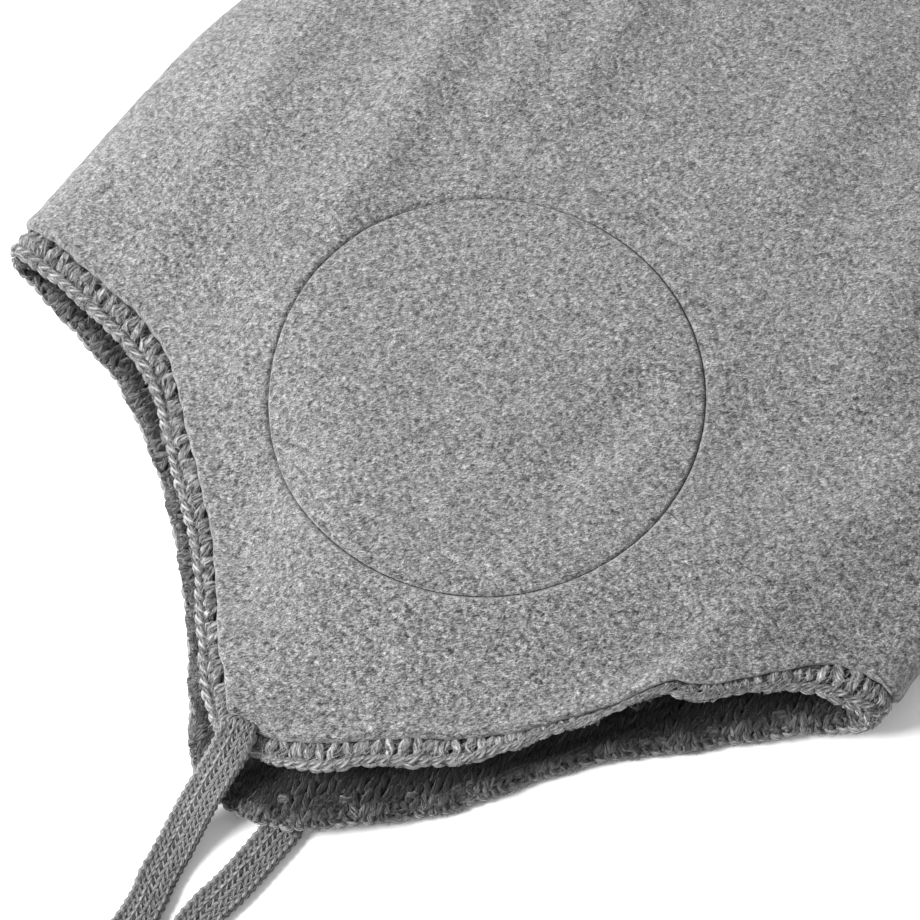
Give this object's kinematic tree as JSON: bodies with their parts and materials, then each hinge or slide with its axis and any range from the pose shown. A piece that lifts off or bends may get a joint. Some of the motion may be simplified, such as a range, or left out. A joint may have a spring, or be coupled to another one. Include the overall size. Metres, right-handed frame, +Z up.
{
  "type": "baby hat with ear flaps",
  "caption": "Knitted baby hat with ear flaps and ties, turned inside out to show its fleece lining and round ear patch, lying on its side",
  "frame": {"origin": "on the surface the hat lies on, under the middle of the hat's own box, ties left out", "axes": "+X to the back of the hat, +Y to the crown, +Z up; the flaps and ties point to -Y and the front to -X"},
  "size_m": [0.196, 0.4189, 0.0279],
  "materials": {
    "fleece": "short-pile grey fleece, matt",
    "knit": "chunky grey knit, matt",
    "tie": "fine flat knitted cord, grey, matt"
  },
  "bodies": {
    "root": {"fleece_lining": "fleece", "ear_patch_upper": "fleece", "ear_patch_lower": "fleece", "knit_shell": "knit", "knit_hem": "knit", "tie_upper": "tie", "tie_lower": "tie"}
  },
  "joints": []
}
